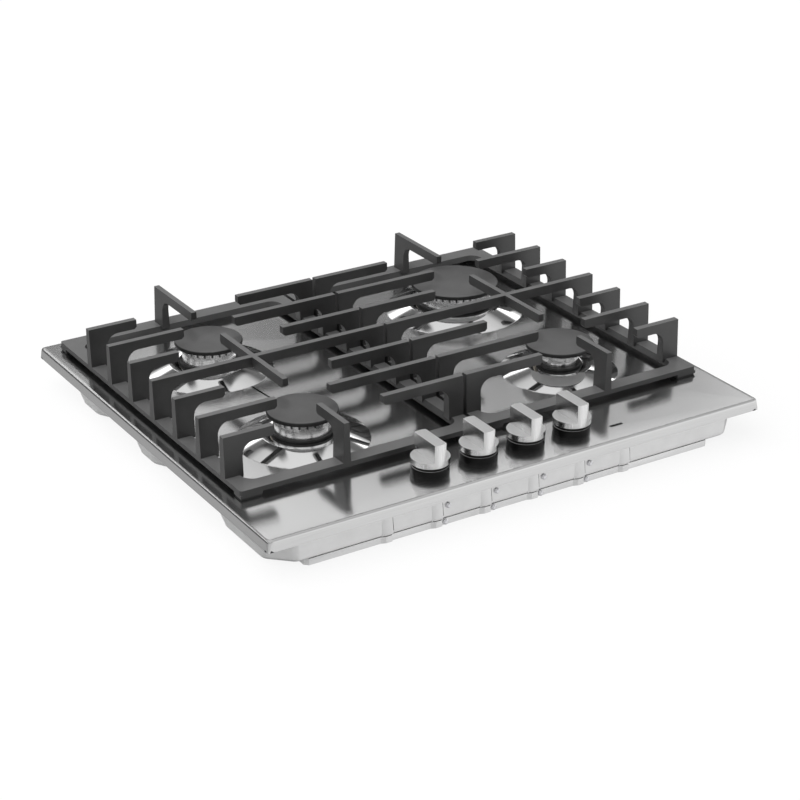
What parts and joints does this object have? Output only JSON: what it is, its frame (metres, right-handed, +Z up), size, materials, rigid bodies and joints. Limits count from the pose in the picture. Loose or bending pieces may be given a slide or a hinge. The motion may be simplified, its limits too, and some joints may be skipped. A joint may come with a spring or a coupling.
{
  "type": "gas cooktop",
  "caption": "Built-in gas cooktop: steel top plate, round burners with enamelled caps, cast pan supports and a row of push-and-turn knobs along the front edge.",
  "frame": {"origin": "centre of the underside of the base tray, which is the lowest face", "axes": "+X to the right and +Y to the rear for someone at the knobs, +Z up"},
  "size_m": [0.586, 0.524, 0.0977],
  "materials": {
    "brushed_steel": "brushed",
    "housing_steel": "plain galvanised sheet",
    "cast_iron": "matt enamel",
    "black_rubber": "matt",
    "seal_rubber": "matt foam",
    "cap_enamel": "satin enamel",
    "crown_aluminium": "cast and turned",
    "base_aluminium": "dark anodised",
    "knob_metal": "polished and brushed",
    "black_plastic": "satin",
    "brass": "turned",
    "zinc": "zinc plated",
    "tube_aluminium": "drawn",
    "valve_metal": "die cast",
    "ceramic": "glazed ceramic",
    "probe_metal": "heat tinted",
    "lead_silicone": "silicone",
    "lead_glass_fibre": "braided sleeve",
    "white_plastic": "satin"
  },
  "bodies": {
    "body_shell": {"top_plate": "brushed_steel", "seal_strip": "seal_rubber", "housing_box": "housing_steel", "base_tray": "housing_steel", "front_screws": "zinc", "valve_rail": "zinc", "gas_manifold": "tube_aluminium", "gas_inlet": "brass", "knob_bezels": "black_plastic", "pipe_nuts": "brass", "injectors": "brass", "burner_nuts": "zinc", "electrodes": "ceramic", "thermocouples": "probe_metal", "ignition_leads": "lead_silicone", "thermocouple_leads": "lead_glass_fibre", "ignition_unit": "black_plastic", "switch_strip": "white_plastic", "mains_gland": "black_plastic", "valve_1": "valve_metal", "valve_2": "valve_metal", "valve_3": "valve_metal", "valve_4": "valve_metal", "burner_base_front_left": "base_aluminium", "pipe_front_left": "tube_aluminium", "burner_base_rear_left": "base_aluminium", "pipe_rear_left": "tube_aluminium", "burner_base_rear_right": "base_aluminium", "pipe_rear_right": "tube_aluminium", "burner_base_front_right": "base_aluminium", "pipe_front_right": "tube_aluminium"},
    "plug_1": {"valve_plug_1": "brass"},
    "knob_1": {"spindle_1": "zinc", "knob_core_1": "black_plastic", "knob_cap_1": "knob_metal"},
    "plug_2": {"valve_plug_2": "brass"},
    "knob_2": {"spindle_2": "zinc", "knob_core_2": "black_plastic", "knob_cap_2": "knob_metal"},
    "plug_3": {"valve_plug_3": "brass"},
    "knob_3": {"spindle_3": "zinc", "knob_core_3": "black_plastic", "knob_cap_3": "knob_metal"},
    "plug_4": {"valve_plug_4": "brass"},
    "knob_4": {"spindle_4": "zinc", "knob_core_4": "black_plastic", "knob_cap_4": "knob_metal"},
    "crown_front_left": {"spreader_front_left": "crown_aluminium"},
    "lid_front_left": {"cap_front_left": "cap_enamel"},
    "crown_rear_left": {"spreader_rear_left": "crown_aluminium"},
    "lid_rear_left": {"cap_rear_left": "cap_enamel"},
    "crown_rear_right": {"spreader_rear_right": "crown_aluminium"},
    "lid_rear_right": {"cap_rear_right": "cap_enamel"},
    "crown_front_right": {"spreader_front_right": "crown_aluminium"},
    "lid_front_right": {"cap_front_right": "cap_enamel"},
    "grate_left": {"pan_support_left": "cast_iron", "support_feet_left": "black_rubber"},
    "grate_right": {"pan_support_right": "cast_iron", "support_feet_right": "black_rubber"}
  },
  "joints": [
    {"name": "knob_turn_1", "type": "hinge", "parent": "body_shell", "child": "plug_1", "pos_m": [-0.0887, -0.2193, 0.02], "axis": [0, 0, 1], "range_deg": [0, 210]},
    {"name": "knob_push_1", "type": "slide", "parent": "plug_1", "child": "knob_1", "axis": [0, 0, 1], "range_m": [-0.0028, 0], "stiffness_N_per_m": 900, "springref_m": 0.003},
    {"name": "knob_turn_2", "type": "hinge", "parent": "body_shell", "child": "plug_2", "pos_m": [-0.0319, -0.2193, 0.02], "axis": [0, 0, 1], "range_deg": [0, 210]},
    {"name": "knob_push_2", "type": "slide", "parent": "plug_2", "child": "knob_2", "axis": [0, 0, 1], "range_m": [-0.0028, 0], "stiffness_N_per_m": 900, "springref_m": 0.003},
    {"name": "knob_turn_3", "type": "hinge", "parent": "body_shell", "child": "plug_3", "pos_m": [0.0249, -0.2193, 0.02], "axis": [0, 0, 1], "range_deg": [0, 210]},
    {"name": "knob_push_3", "type": "slide", "parent": "plug_3", "child": "knob_3", "axis": [0, 0, 1], "range_m": [-0.0028, 0], "stiffness_N_per_m": 900, "springref_m": 0.003},
    {"name": "knob_turn_4", "type": "hinge", "parent": "body_shell", "child": "plug_4", "pos_m": [0.0817, -0.2193, 0.02], "axis": [0, 0, 1], "range_deg": [0, 210]},
    {"name": "knob_push_4", "type": "slide", "parent": "plug_4", "child": "knob_4", "axis": [0, 0, 1], "range_m": [-0.0028, 0], "stiffness_N_per_m": 900, "springref_m": 0.003},
    {"name": "spreader_lift_front_left", "type": "slide", "parent": "body_shell", "child": "crown_front_left", "axis": [0, 0, 1], "range_m": [0, 0.004]},
    {"name": "cap_lift_front_left", "type": "slide", "parent": "crown_front_left", "child": "lid_front_left", "axis": [0, 0, 1], "range_m": [0, 0.004]},
    {"name": "spreader_lift_rear_left", "type": "slide", "parent": "body_shell", "child": "crown_rear_left", "axis": [0, 0, 1], "range_m": [0, 0.004]},
    {"name": "cap_lift_rear_left", "type": "slide", "parent": "crown_rear_left", "child": "lid_rear_left", "axis": [0, 0, 1], "range_m": [0, 0.004]},
    {"name": "spreader_lift_rear_right", "type": "slide", "parent": "body_shell", "child": "crown_rear_right", "axis": [0, 0, 1], "range_m": [0, 0.004]},
    {"name": "cap_lift_rear_right", "type": "slide", "parent": "crown_rear_right", "child": "lid_rear_right", "axis": [0, 0, 1], "range_m": [0, 0.004]},
    {"name": "spreader_lift_front_right", "type": "slide", "parent": "body_shell", "child": "crown_front_right", "axis": [0, 0, 1], "range_m": [0, 0.004]},
    {"name": "cap_lift_front_right", "type": "slide", "parent": "crown_front_right", "child": "lid_front_right", "axis": [0, 0, 1], "range_m": [0, 0.004]},
    {"name": "support_lift_left", "type": "slide", "parent": "body_shell", "child": "grate_left", "axis": [0, 0, 1], "range_m": [0, 0.08]},
    {"name": "support_lift_right", "type": "slide", "parent": "body_shell", "child": "grate_right", "axis": [0, 0, 1], "range_m": [0, 0.08]}
  ]
}
